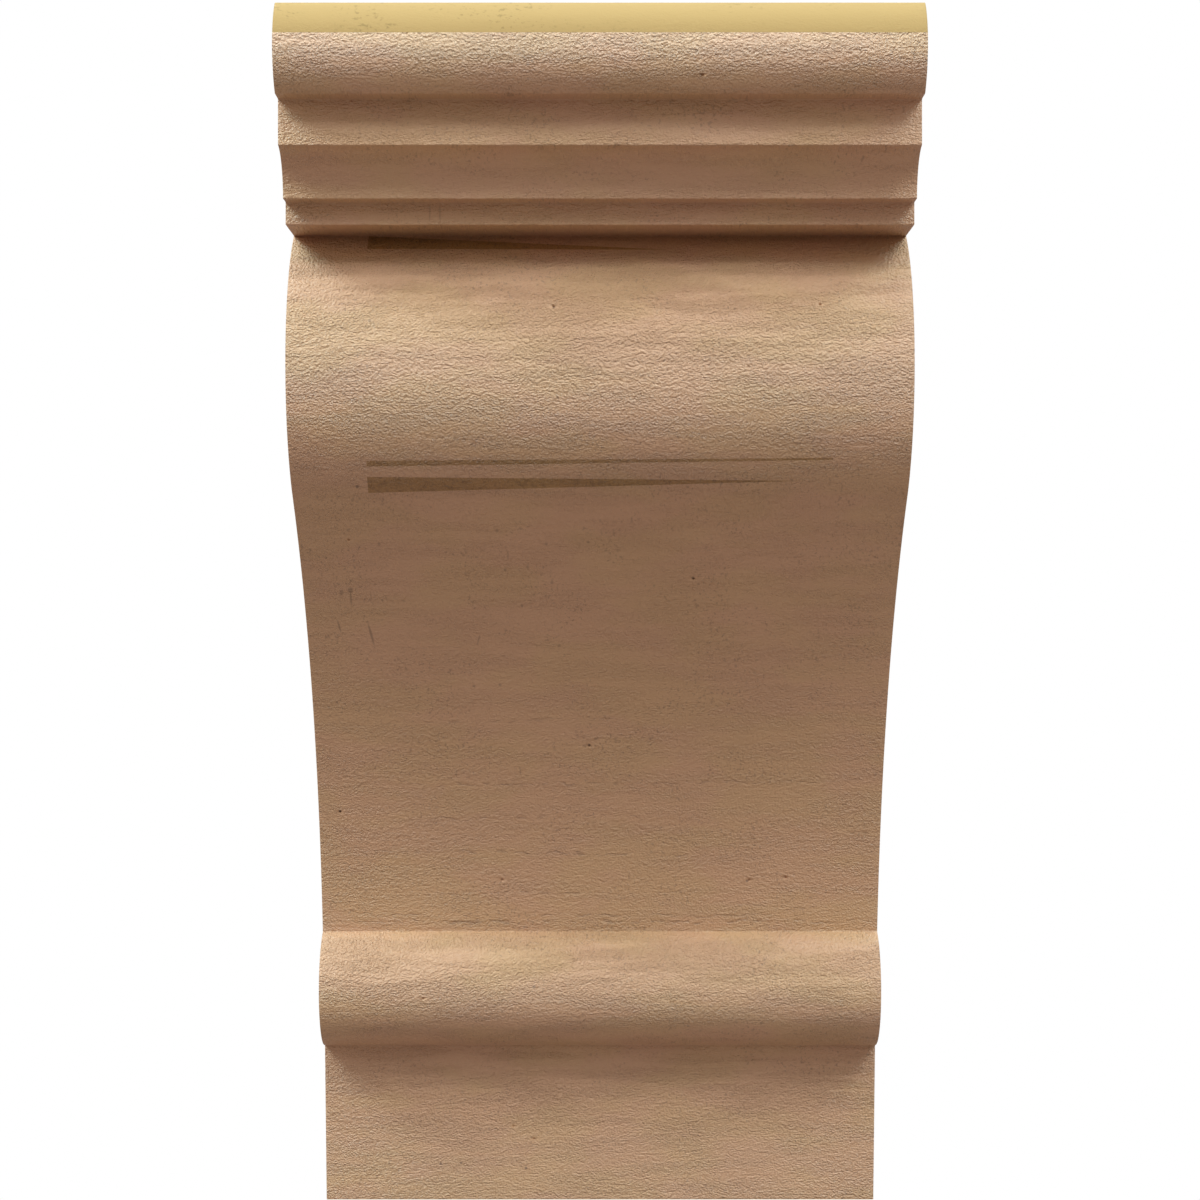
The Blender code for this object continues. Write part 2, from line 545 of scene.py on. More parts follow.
@dataclass(frozen=True)
class PrimedUrethane:
    """Rigid moulded urethane foam, sprayed with a tan primer on the faces that show.

    The primer has a soft sheen and a fine orange peel, so grazing light breaks up over it. Over the
    crown and on the back no primer went, and the bare skin is smoother, duller and more golden.

    Attributes:
        primer: The primer's colour where it is pinker.
        primer_olive: Its colour where it is more olive.
        primer_patches: Where it is which.
        bare: The colour of the bare skin.
        bare_speck: The colour of the specks in the bare skin.
        bare_specks: The specks.
        bare_clusters: Where the specks gather.
        bare_height: The height above the origin at which the primer stops.
        bare_depth: The distance from the wall at which it stops.
        roughness: The primer's roughness, half way between gloss and chalk.
        bare_roughness: The roughness of the bare skin, which is dull.
        gloss: How strongly both mirror, where 0.5 is common for plastic.
        peel: The wrinkles of the orange peel, about 0.6 mm apart as on sprayed primer.
        peel_patches: Where the wrinkles are deep.
        least_peel: How deep they are elsewhere, as a share.
        peel_relief: The height of the wrinkles if the noise spanned its full range. It mostly keeps
            to the middle of it, which leaves about a tenth of a millimetre to either side.
        bare_relief: The share of all relief that the bare skin keeps.
        ledges: Small ledges in the peel, as in worn timber.
        ledge_relief: The height of a ledge.
        bend: How the creases wind.
        bend_height: How far they wind up and down.
        dashes: Where the creases show.
        crease_relief: The depth of a crease.
        painted_crease_shade: How dark a crease is painted, as shade painted into the crease.
        creases: Long creases across the foot of the hollow sweep.
        scrapes: Short scrapes and dents.
        specks_and_pinhole_shade: Small dark specks, and painted shade in the larger pinholes.
        dust: Faint dark dots all over. Real ones are a few tenths of a millimetre wide, which a
            picture of the whole can't show, so they are drawn twice as wide.
        dust_clusters: Where the dots gather.
        dust_strength: How dark the dots are.
        dark_share: What is left of the colour under a mark, a dust dot or painted shade, as red, green and
            blue.
        wedges: Stains that let the olive of the foam through.
        stain_share: What a stain leaves of the colour.
        stain_blotches: Where a stain is darker.
        blotch_share: What is left of the colour there.
    """

    primer: str = "#C89D78"
    primer_olive: str = "#C79F75"
    primer_patches: Pattern = Pattern((30.0, 30.0, 12.0), 0.4, 0.6, 2.0, 21.0)
    bare: str = "#9F7E43"
    bare_speck: str = "#886B32"
    bare_specks: Pattern = Pattern((1.2, 1.2, 0.8), 0.55, 0.68, 3.0, 31.0)
    bare_clusters: Pattern = Pattern((20.0, 20.0, 8.0), 0.5, 0.62, 2.0, 33.0)
    bare_height: float = 144.2
    bare_depth: float = 0.4
    roughness: float = 0.5
    bare_roughness: float = 0.9
    gloss: float = 1.0
    peel: Pattern = Pattern((0.6, 5.0, 0.46), 0.0, 1.0, 2.0)
    peel_patches: Pattern = Pattern((30.0, 30.0, 3.2), 0.38, 0.6, 2.0)
    least_peel: float = 0.58
    peel_relief: float = 0.8
    bare_relief: float = 0.06
    ledges: Pattern = Pattern((2.0, 12.0, 0.9), 0.48, 0.58, 2.0, 5.0)
    ledge_relief: float = 0.16
    bend: Pattern = Pattern((5.0, 30.0, 3.0), 0.2, 0.8, 2.0, 51.0)
    bend_height: float = 1.5
    dashes: Pattern = Pattern((3.5, 30.0, 2.5), 0.42, 0.62, 2.0, 55.0)
    crease_relief: float = 0.26
    # Darkening the creases in the colour paints shade into them
    painted_crease_shade: float = 0.5
    creases: tuple[Mark, ...] = (
        Mark((-70.6, 1.3), (52.2, 3.2), 0.5, 0.3),
        Mark((-76.0, -19.6), (23.9, -16.7), 0.6, 0.5),
        Mark((10.7, -27.0), (34.8, -25.7), 0.6, 0.4),
        Mark((-80.0, -35.9), (80.0, -34.4), 0.6, 0.7),
        Mark((-59.7, -45.2), (24.4, -44.1), 0.6, 0.6),
        Mark((46.2, -50.0), (80.0, -48.6), 0.6, 0.6),
        Mark((-80.0, -53.3), (43.6, -55.6), 0.6, 0.7),
        Mark((43.7, -58.7), (80.0, -56.5), 0.6, 0.6),
        Mark((-60.2, -65.7), (27.4, -65.7), 0.6, 0.6),
        Mark((24.7, -67.6), (80.0, -71.9), 0.6, 0.6),
        Mark((-90.0, -71.6), (60.0, -72.2), 0.6, 0.7),
        Mark((-90.0, -74.0), (90.0, -73.6), 0.8, 0.9),
    )
    scrapes: tuple[Mark, ...] = (
        Mark((-64.1, 16.7), (-64.2, 11.7), 0.5, 0.6),
        Mark((-66.4, 16.3), (-66.5, 14.7), 1.2, 0.5),
        Mark((-64.1, 16.9), (-64.1, 15.4), 1.4, 0.6),
        Mark((-68.1, 8.6), (-67.4, 5.3), 0.55, 0.6),
        Mark((-60.3, 8.1), (-58.9, 1.6), 0.7, 0.6),
        Mark((-31.2, 5.0), (-32.1, 1.9), 0.5, 0.4),
        Mark((-21.6, -30.2), (-21.3, -33.0), 0.5, 0.4),
        Mark((-23.3, 26.1), (-23.4, 23.6), 0.5, 0.35),
        Mark((-41.2, 108.9), (-41.3, 104.4), 0.5, 0.35),
        Mark((-38.8, 108.9), (-38.8, 104.4), 0.5, 0.35),
    )
    specks_and_pinhole_shade: tuple[Mark, ...] = (
        dark_spot(-59.9, 41.1, 0.8),
        dark_spot(-55.8, 27.5),
        dark_spot(-25.9, 30.7),
        dark_spot(-13.6, 27.5),
        dark_spot(-3.0, 28.0),
        dark_spot(-24.2, 21.2),
        dark_spot(-12.3, 18.0),
        dark_spot(-20.1, 12.2),
        dark_spot(-10.7, 1.9),
        dark_spot(-26.4, -8.4),
        dark_spot(-33.3, -8.7),
        dark_spot(-45.2, -15.9),
        dark_spot(-17.9, -90.4, 0.7),
        dark_spot(-20.6, -143.4, 0.9),
        dark_spot(-44.3, -142.2, 0.7),
        dark_spot(-38.7, -141.9, 0.7),
        # The spots from here on sit on pinholes: their dark is painted shade in the pits
        dark_spot(23.8, 19.2, 0.9),
        dark_spot(-2.9, -24.6, 0.9),
        dark_spot(-70.4, -42.8, 0.9),
        dark_spot(40.2, -62.3, 0.8),
        dark_spot(-11.2, 84.1, 0.7),
        dark_spot(23.5, 134.7, 0.8),
    )
    dust: Pattern = Pattern((0.75, 6.0, 0.75), 0.56, 0.69, 2.0, 61.0)
    dust_clusters: Pattern = Pattern((18.0, 18.0, 11.0), 0.46, 0.6, 2.0, 63.0)
    dust_strength: float = 0.44
    dark_share: tuple[float, float, float, float] = (0.36, 0.34, 0.33, 1.0)
    wedges: tuple[Wedge, ...] = (
        Wedge(-57.3, 39.6, 43.3, 50.0, 42.4),
        Wedge(-57.2, 45.75, 47.05, 57.0, 47.5, 0.36),
        Wedge(-57.5, 99.8, 103.7, 16.5, 99.6),
    )
    stain_share: tuple[float, float, float, float] = (0.63, 0.55, 0.28, 1.0)
    stain_blotches: Pattern = Pattern((1.2, 6.0, 0.9), 0.5, 0.64, 3.0, 41.0)
    blotch_share: tuple[float, float, float, float] = (0.78, 0.76, 0.72, 1.0)

    def spot(self, tree: NodeTree) -> NodeSocket:
        """Reads the place on the corbel.

        Args:
            tree: The material's tree.

        Returns:
            The place in millimetres, from the object's own coordinates.
        """
        place = add_node(tree, "ShaderNodeTexCoord").outputs["Object"]
        scaled = add_node(tree, "ShaderNodeVectorMath", {0: place, 1: (1 / MM,) * 3}, operation="MULTIPLY")
        return scaled.outputs[0]

    def bareness(self, tree: NodeTree, spot: NodeSocket) -> NodeSocket:
        """Finds where the primer stops.

        Args:
            tree: The material's tree.
            spot: The place in millimetres.

        Returns:
            1 above the crown's edge and on the back, where the skin is bare, and 0 elsewhere.
        """
        axes = add_node(tree, "ShaderNodeSeparateXYZ", {0: spot}).outputs
        above = add_node(
            tree, "ShaderNodeMath", {0: axes["Z"], 1: self.bare_height}, operation="GREATER_THAN"
        )
        behind = add_node(
            tree, "ShaderNodeMath", {0: axes["Y"], 1: -self.bare_depth}, operation="GREATER_THAN"
        )
        return add_node(tree, "ShaderNodeMath", {0: above, 1: behind}, operation="MAXIMUM").outputs[0]

    def joined(self, tree: NodeTree, masks: list[Node | NodeSocket], operation: str) -> NodeSocket:
        """Joins several masks into one.

        Args:
            tree: The material's tree.
            masks: The masks, each as an output or as a node whose first output it is.
            operation: The math that joins two of them, such as their maximum or their product.

        Returns:
            The joined mask.
        """
        total = masks[0]
        for mask in masks[1:]:
            total = add_node(tree, "ShaderNodeMath", {0: total, 1: mask}, operation=operation).outputs[0]
        return total

    def crease_mask(self, tree: NodeTree, spot: NodeSocket) -> NodeSocket:
        """Covers the creases, which wind a little and come and go.

        Args:
            tree: The material's tree.
            spot: The place in millimetres.

        Returns:
            How strongly a crease shows there, from 0 to 1.
        """
        bend = self.bend.strength(tree, spot)
        shift = add_node(
            tree,
            "ShaderNodeMath",
            {0: bend, 1: self.bend_height, 2: -self.bend_height / 2},
            operation="MULTIPLY_ADD",
        )
        upwards = add_node(tree, "ShaderNodeCombineXYZ", {"Z": shift})
        bent = add_node(tree, "ShaderNodeVectorMath", {0: spot, 1: upwards}, operation="ADD").outputs[0]
        creases = self.joined(tree, [crease.mask(tree, bent) for crease in self.creases], "MAXIMUM")
        return self.joined(tree, [creases, self.dashes.strength(tree, spot)], "MULTIPLY")

    def relief(
        self, tree: NodeTree, spot: NodeSocket, bare: NodeSocket, creases: NodeSocket
    ) -> NodeSocket:
        """Works out the relief that is too fine for the mesh.

        Args:
            tree: The material's tree.
            spot: The place in millimetres.
            bare: How bare of primer the place is.
            creases: How strongly a crease shows there.

        Returns:
            The relief's height in millimetres.
        """
        level = 0.5
        swell = add_node(
            tree, "ShaderNodeMath", {0: self.peel.strength(tree, spot), 1: level}, operation="SUBTRACT"
        )
        patches = self.peel_patches.strength(tree, spot, self.least_peel)
        peel = self.joined(tree, [swell, patches], "MULTIPLY")
        ledges = self.joined(tree, [self.ledges.strength(tree, spot), patches], "MULTIPLY")
        height = add_node(tree, "ShaderNodeMath", {0: peel, 1: self.peel_relief}, operation="MULTIPLY")
        for mask, rise in ((ledges, self.ledge_relief), (creases, -self.crease_relief)):
            height = add_node(
                tree, "ShaderNodeMath", {0: mask, 1: rise, 2: height}, operation="MULTIPLY_ADD"
            )
        skin = add_node(tree, "ShaderNodeAttribute", attribute_name=ROUGHNESS).outputs["Fac"]
        kept = add_node(
            tree, "ShaderNodeMapRange", {"Value": bare, "To Min": 1.0, "To Max": self.bare_relief}
        )
        return self.joined(tree, [height, skin, kept], "MULTIPLY")

    def colour(
        self, tree: NodeTree, spot: NodeSocket, bare: NodeSocket, creases: NodeSocket
    ) -> NodeSocket:
        """Mixes the colour from the primer, the marks, the painted shade, the stains and the bare skin.

        Args:
            tree: The material's tree.
            spot: The place in millimetres.
            bare: How bare of primer the place is.
            creases: How strongly a crease shows there.

        Returns:
            The colour.
        """
        marks = [mark.mask(tree, spot) for mark in self.scrapes + self.specks_and_pinhole_shade]
        dots = [pattern.strength(tree, spot) for pattern in (self.dust, self.dust_clusters)]
        dust = add_node(
            tree,
            "ShaderNodeMath",
            {0: self.joined(tree, dots, "MULTIPLY"), 1: self.dust_strength},
            operation="MULTIPLY",
        )
        # Painted shade along the creases
        crease_shade = add_node(
            tree, "ShaderNodeMath", {0: creases, 1: self.painted_crease_shade}, operation="MULTIPLY"
        )
        # Dust, scrapes and most specks are the primer's own marks; the creases and the pinhole spots add
        # painted shade
        marks_and_painted_shade = self.joined(tree, [dust, crease_shade, *marks], "MAXIMUM")
        stain = self.joined(tree, [wedge.mask(tree, spot) for wedge in self.wedges], "ADD")
        blotch = self.joined(tree, [stain, self.stain_blotches.strength(tree, spot)], "MULTIPLY")
        bare_dots = [pattern.strength(tree, spot) for pattern in (self.bare_specks, self.bare_clusters)]
        skin = add_node(
            tree,
            "ShaderNodeMix",
            {
                MIX_SHARE: self.joined(tree, bare_dots, "MULTIPLY"),
                MIX_FIRST: linear(self.bare),
                MIX_SECOND: linear(self.bare_speck),
            },
            data_type="RGBA",
        )
        colour = add_node(
            tree,
            "ShaderNodeMix",
            {
                MIX_SHARE: self.primer_patches.strength(tree, spot),
                MIX_FIRST: linear(self.primer),
                MIX_SECOND: linear(self.primer_olive),
            },
            data_type="RGBA",
        )
        shares = (self.dark_share, self.stain_share, self.blotch_share)
        for mask, share in zip((marks_and_painted_shade, stain, blotch), shares):
            colour = add_node(
                tree,
                "ShaderNodeMix",
                {MIX_SHARE: mask, MIX_FIRST: colour.outputs[MIX_RESULT], MIX_SECOND: share},
                data_type="RGBA",
                blend_type="MULTIPLY",
            )
        covered = add_node(
            tree,
            "ShaderNodeMix",
            {
                MIX_SHARE: bare,
                MIX_FIRST: colour.outputs[MIX_RESULT],
                MIX_SECOND: skin.outputs[MIX_RESULT],
            },
            data_type="RGBA",
        )
        return covered.outputs[MIX_RESULT]

    def build(self) -> Material:
        """Makes the material.

        Returns:
            The material, with its patterns on Object coordinates.
        """
        material = bpy.data.materials.new("tan_primed_urethane")
        material.use_nodes = True
        tree = material.node_tree
        shader = tree.nodes["Principled BSDF"]
        shader.inputs["Specular IOR Level"].default_value = self.gloss
        spot = self.spot(tree)
        bare = self.bareness(tree, spot)
        dullness = {"Value": bare, "To Min": self.roughness, "To Max": self.bare_roughness}
        roughness = add_node(tree, "ShaderNodeMapRange", dullness)
        tree.links.new(roughness.outputs[0], shader.inputs["Roughness"])
        creases = self.crease_mask(tree, spot)
        relief = self.relief(tree, spot, bare, creases)
        bump = add_node(tree, "ShaderNodeBump", {"Height": relief, "Distance": MM})
        tree.links.new(bump.outputs["Normal"], shader.inputs["Normal"])
        tree.links.new(self.colour(tree, spot, bare, creases), shader.inputs["Base Color"])
        return material


@dataclass(frozen=True)
class Moulding:
    """The corbel's one piece, a sweep of its side outline across the width.

    Attributes:
        outline: The side outline.
        finish: The finish of every face.
        width: The width across.
        columns: How many strips of faces lie across the width, without the rounded ends.
        end_steps: How many strips round off each end.
        end_radius: The radius that the edges at the two ends are rounded to.
        ripple_depth: How far the saw's long ripples rise and fall.
        grain_depth: How far the small lumps between them do.
        seed: The seed of both patterns.
        end_spacing: The distance between the points inside each end's sheet.
        end_lump: The size of the low lumps on the ends.
        end_depth: How far the ends dip between them.
        end_fade: The distance from the rim over which the dips deepen.
        ripple_sizes: The size of a ripple across, in depth and upwards, like a band saw's marks.
        grain_sizes: The size of a small lump, which is nearly round.
        pinhole_rings: The rings of a pinhole from its rim down, each by its radius and its depth.
        front_depth: How far out from the wall every pinhole is at least.
        pinholes: Where air left a pinhole in the front, across and above the origin.
    """

    outline: SideOutline = SideOutline()
    finish: PrimedUrethane = PrimedUrethane()
    width: float = 152.4
    columns: int = 108
    end_steps: int = 3
    end_radius: float = 0.14
    ripple_depth: float = 0.1
    grain_depth: float = 0.07
    seed: int = 5
    end_spacing: float = 3.0
    end_lump: float = 7.0
    end_depth: float = 0.15
    end_fade: float = 5.0
    ripple_sizes: tuple[float, float, float] = (60.0, 7.0, 6.0)
    grain_sizes: tuple[float, float, float] = (5.5, 4.0, 3.2)
    pinhole_rings: tuple[tuple[float, float], ...] = ((0.45, 0.0), (0.42, 0.08), (0.32, 0.6))
    front_depth: float = 30.0
    pinholes: tuple[tuple[float, float], ...] = (
        (-11.2, 84.1),
        (54.2, 84.8),
        (23.5, 134.7),
        (23.8, 19.2),
        (-2.9, -24.6),
        (-70.4, -42.8),
        (-26.5, -62.1),
        (40.2, -62.3),
        (50.6, -61.3),
        (-47.7, -93.4),
        (-23.9, -131.7),
        (-18.6, -134.8),
        (-63.0, 28.7),
    )

    def outline_loop(self) -> Object:
        """Makes the outline as a closed loop of edges that carries what the sweep needs.

        Returns:
            An object whose points hold their place, the way out of the solid, and the relief's share.
        """
        stations = self.outline.stations()
        count = len(stations.spots)
        LOG.info("side outline: %d stations", count)
        flat = np.zeros((count, 3), np.float32)
        flat[:, 1] = -stations.spots[:, 0] * MM
        flat[:, 2] = (stations.spots[:, 1] - self.outline.height / 2) * MM
        out = np.zeros((count, 3), np.float32)
        out[:, 1] = -stations.outward[:, 0]
        out[:, 2] = stations.outward[:, 1]
        mesh = bpy.data.meshes.new("side_outline")
        edges = [(i, (i + 1) % count) for i in range(count)]
        mesh.from_pydata([tuple(spot) for spot in flat.tolist()], edges, [])
        for name, values in (("spot", flat), ("outward", out)):
            mesh.attributes.new(name, CARRIED[name], "POINT").data.foreach_set("vector", values.ravel())
        relief = mesh.attributes.new(ROUGHNESS, "FLOAT", "POINT")
        relief.data.foreach_set("value", stations.relief.astype(np.float32))
        loop = bpy.data.objects.new("corbel_moulding", mesh)
        bpy.context.scene.collection.objects.link(loop)
        return loop

    def sweep_tree(self) -> NodeTree:
        """Builds the tree that sweeps the outline across the width and raises the relief.

        Returns:
            The tree, with named inputs for its sizes.
        """
        tree = bpy.data.node_groups.new("sweep_across_the_width", "GeometryNodeTree")
        for name, kind in (
            ("Geometry", "NodeSocketGeometry"),
            ("Width", "NodeSocketFloat"),
            ("Columns", "NodeSocketInt"),
            ("End Steps", "NodeSocketInt"),
            ("End Radius", "NodeSocketFloat"),
            ("Ripple Depth", "NodeSocketFloat"),
            ("Grain Depth", "NodeSocketFloat"),
            ("Seed", "NodeSocketInt"),
            ("Material", "NodeSocketMaterial"),
        ):
            tree.interface.new_socket(name, in_out="INPUT", socket_type=kind)
        tree.interface.new_socket("Geometry", in_out="OUTPUT", socket_type="NodeSocketGeometry")
        given = add_node(tree, "NodeGroupInput").outputs
        path = self.path_across(tree, given)
        profile = add_node(tree, "GeometryNodeMeshToCurve", {"Mesh": given["Geometry"]})
        swept = add_node(
            tree,
            "GeometryNodeCurveToMesh",
            {"Curve": path, "Profile Curve": profile, "Fill Caps": False},
        )
        carried = {
            name: add_node(tree, "GeometryNodeInputNamedAttribute", {"Name": name}, data_type=kind)
            for name, kind in CARRIED.items()
        }
        sideways = add_node(tree, "ShaderNodeCombineXYZ", {"X": carried["across"]})
        spot = add_node(
            tree, "ShaderNodeVectorMath", {0: carried["spot"], 1: sideways}, operation="ADD"
        ).outputs["Vector"]
        rise = self.relief(tree, given, spot)
        lift = add_node(tree, "ShaderNodeMath", {0: rise, 1: carried["inset"]}, operation="SUBTRACT")
        offset = add_node(
            tree, "ShaderNodeVectorMath", {0: carried["outward"], "Scale": lift}, operation="SCALE"
        )
        placed = add_node(
            tree, "GeometryNodeSetPosition", {"Geometry": swept, "Position": spot, "Offset": offset}
        )
        rounded = add_node(
            tree, "GeometryNodeSetShadeSmooth", {"Geometry": placed, "Shade Smooth": True}
        )
        real = add_node(tree, "GeometryNodeRealizeInstances", {"Geometry": rounded})
        dressed = add_node(
            tree, "GeometryNodeSetMaterial", {"Geometry": real, "Material": given["Material"]}
        )
        add_node(tree, "NodeGroupOutput", {"Geometry": dressed})
        return tree

    def path_across(self, tree: NodeTree, given: bpy.types.bpy_prop_collection) -> NodeSocket:
        """Lays the path of the sweep, with closer points where its two ends are rounded.

        Args:
            tree: The sweep's tree.
            given: The tree's named inputs.

        Returns:
            The path. Its points carry how far across they are, and how far the outline is drawn in there.
        """
        both_ends = add_node(tree, "ShaderNodeMath", {0: given["End Steps"], 1: 2.0}, operation="MULTIPLY")
        last = add_node(tree, "ShaderNodeMath", {0: given["Columns"], 1: both_ends}, operation="ADD")
        count = add_node(tree, "ShaderNodeMath", {0: last, 1: 1.0}, operation="ADD")
        line = add_node(tree, "GeometryNodeCurvePrimitiveLine", {"End": (1.0, 0.0, 0.0)})
        points = add_node(tree, "GeometryNodeResampleCurve", {"Curve": line, "Count": count})
        index = add_node(tree, "GeometryNodeInputIndex")
        to_last = add_node(tree, "ShaderNodeMath", {0: last, 1: index}, operation="SUBTRACT")
        nearer = add_node(tree, "ShaderNodeMath", {0: index, 1: to_last}, operation="MINIMUM")
        turned = add_node(
            tree,
            "ShaderNodeMapRange",
            {"Value": nearer, "From Max": given["End Steps"], "To Max": math.pi / 2},
        )
        sine = add_node(tree, "ShaderNodeMath", {0: turned}, operation="SINE")
        cosine = add_node(tree, "ShaderNodeMath", {0: turned}, operation="COSINE")
        drawn = add_node(tree, "ShaderNodeMath", {0: 1.0, 1: sine}, operation="SUBTRACT")
        inset = add_node(tree, "ShaderNodeMath", {0: drawn, 1: given["End Radius"]}, operation="MULTIPLY")
        past = add_node(
            tree, "ShaderNodeMath", {0: cosine, 1: given["End Radius"]}, operation="MULTIPLY"
        )
        half = add_node(tree, "ShaderNodeMath", {0: given["Width"], 1: 0.5}, operation="MULTIPLY")
        straight = add_node(
            tree, "ShaderNodeMath", {0: half, 1: given["End Radius"]}, operation="SUBTRACT"
        )
        other = add_node(tree, "ShaderNodeMath", {0: straight, 1: -1.0}, operation="MULTIPLY")
        to_end = add_node(tree, "ShaderNodeMath", {0: last, 1: given["End Steps"]}, operation="SUBTRACT")
        inner = add_node(
            tree,
            "ShaderNodeMapRange",
            {
                "Value": index,
                "From Min": given["End Steps"],
                "From Max": to_end,
                "To Min": other,
                "To Max": straight,
            },
        )
        side = add_node(tree, "ShaderNodeMath", {0: inner}, operation="SIGN")
        across = add_node(tree, "ShaderNodeMath", {0: side, 1: past, 2: inner}, operation="MULTIPLY_ADD")
        path = points
        for name, value in (("across", across), ("inset", inset)):
            path = add_node(
                tree,
                "GeometryNodeStoreNamedAttribute",
                {"Geometry": path, "Name": name, "Value": value},
                data_type=CARRIED[name],
                domain="POINT",
            )
        return path.outputs[0]

    def relief(
        self, tree: NodeTree, given: bpy.types.bpy_prop_collection, spot: NodeSocket
    ) -> NodeSocket:
        """Works out how far the surface swells out or dips in.

        Args:
            tree: The sweep's tree.
            given: The tree's named inputs.
            spot: The place on the plain sweep.

        Returns:
            The rise along the outward direction, in metres.
        """
        share = add_node(tree, "GeometryNodeInputNamedAttribute", {"Name": ROUGHNESS}, data_type="FLOAT")
        level = 0.5
        rises = []
        for sizes, depth in ((self.ripple_sizes, "Ripple Depth"), (self.grain_sizes, "Grain Depth")):
            scaled = add_node(
                tree,
                "ShaderNodeVectorMath",
                {0: spot, 1: [size * MM for size in sizes]},
                operation="DIVIDE",
            )
            field = add_node(
                tree,
                "ShaderNodeTexNoise",
                {"Vector": scaled, "W": given["Seed"], "Scale": 1.0, "Detail": 1.0},
                noise_dimensions="4D",
            )
            off = add_node(tree, "ShaderNodeMath", {0: field, 1: level}, operation="SUBTRACT")
            rises.append(add_node(tree, "ShaderNodeMath", {0: off, 1: given[depth]}, operation="MULTIPLY"))
        total = add_node(tree, "ShaderNodeMath", dict(enumerate(rises)), operation="ADD")
        return add_node(tree, "ShaderNodeMath", {0: total, 1: share}, operation="MULTIPLY").outputs[0]

    def swept(self, material: Material) -> Object:
        """Sweeps the outline and turns the result into a plain mesh.

        Args:
            material: The finish of every face.

        Returns:
            The moulding, open at both ends and without its pinholes.
        """
        moulding = self.outline_loop()
        tree = self.sweep_tree()
        modifier = moulding.modifiers.new("sweep", "NODES")
        modifier.node_group = tree
        values = {
            "Width": self.width * MM,
            "Columns": self.columns,
            "End Steps": self.end_steps,
            "End Radius": self.end_radius * MM,
            "Ripple Depth": self.ripple_depth * MM,
            "Grain Depth": self.grain_depth * MM,
            "Seed": self.seed,
            "Material": material,
        }
        for item in tree.interface.items_tree:
            if item.in_out == "INPUT" and item.name in values:
                modifier[item.identifier] = values[item.name]
        graph = bpy.context.evaluated_depsgraph_get()
        plain = bpy.data.meshes.new_from_object(moulding.evaluated_get(graph))
        moulding.modifiers.remove(modifier)
        loop = moulding.data
        moulding.data = plain
        plain.name = "corbel_moulding"
        bpy.data.meshes.remove(loop)
        return moulding

    def points_inside(self, rim: np.ndarray) -> np.ndarray:
        """Spreads points evenly inside an end, clear of its rim.

        Args:
            rim: The rim's points in order, in millimetres.

        Returns:
            A row for each point inside: its place along both axes, and its distance from the rim.
        """
        low, high = rim.min(axis=0), rim.max(axis=0)
        row_gap = self.end_spacing * math.sqrt(3) / 2
        rows = np.arange(low[1], high[1], row_gap)
        columns = np.arange(low[0], high[0], self.end_spacing)
        shifts = (np.arange(len(rows)) % 2) * self.end_spacing / 2
        spots = np.stack([(columns[None] + shifts[:, None]).ravel(), np.repeat(rows, len(columns))], axis=1)
        along = np.roll(rim, -1, axis=0) - rim
        to_spot = spots[:, None] - rim[None]
        share = np.clip((to_spot * along).sum(axis=2) / (along**2).sum(axis=1), 0, 1)
        distance = np.linalg.norm(to_spot - share[..., None] * along, axis=2).min(axis=1)
        spans = (rim[:, 1] > spots[:, 1:]) != (np.roll(rim, -1, axis=0)[:, 1] > spots[:, 1:])
        safe_rise = np.where(along[:, 1] == 0, 1, along[:, 1])
        crossing = rim[:, 0] + along[:, 0] * to_spot[..., 1] / safe_rise
        inside = (spans & (crossing > spots[:, :1])).sum(axis=1) % 2 == 1
        # Any nearer to the rim, the triangles between a point and the rim would be slivers
        nearest = 0.6 * self.end_spacing
        clear = inside & (distance > nearest)
        return np.concatenate([spots, distance[:, None]], axis=1)[clear]

    def close_end(self, bm: bmesh.types.BMesh, side: int) -> None:
        """Closes one end with a sheet of nearly even triangles that dips a little here and there.

        Args:
            bm: The moulding's mesh.
            side: -1 for the left end and 1 for the right.
        """
        edges = [edge for edge in bm.edges if edge.is_boundary and edge.verts[0].co.x * side > 0]
        onward = {}
        for edge in edges:
            edge.smooth = False
            onward.setdefault(edge.verts[0], []).append(edge.verts[1])
            onward.setdefault(edge.verts[1], []).append(edge.verts[0])
        rim = [edges[0].verts[0], edges[0].verts[1]]
        while len(rim) < len(edges):
            rim.append(next(vert for vert in onward[rim[-1]] if vert is not rim[-2]))
        places = np.array([(vert.co.y, vert.co.z) for vert in rim]) / MM
        inner = self.points_inside(places)
        corners = [Vector(place) for place in places] + [Vector(place) for place in inner[:, :2]]
        roughness = bm.verts.layers.float[ROUGHNESS]
        keep_inside, same_place = 1, 1e-6
        found = delaunay_2d_cdt(corners, [], [range(len(rim))], keep_inside, same_place)
        spots, _, faces, sources, _, _ = found
        # The two ends read the noise this many millimetres to either side of 0, and dip by half of it
        # where it is level
        apart, level = 9.0, 0.5
        made = []
        for spot, source in zip(spots, sources):
            if source and source[0] < len(rim):
                made.append(rim[source[0]])
                continue
            fade = min(1.0, inner[source[0] - len(rim), 2] / self.end_fade) if source else 0.0
            lumps = noise.noise(Vector((spot.x, spot.y, apart * side)) / self.end_lump)
            dip = self.end_depth * fade * (level + lumps)
            made.append(bm.verts.new(Vector((side * (self.width / 2 - dip), *spot)) * MM))
            made[-1][roughness] = Skin.FLAT.value
        for face in faces:
            bm.faces.new([made[i] for i in face]).smooth = True

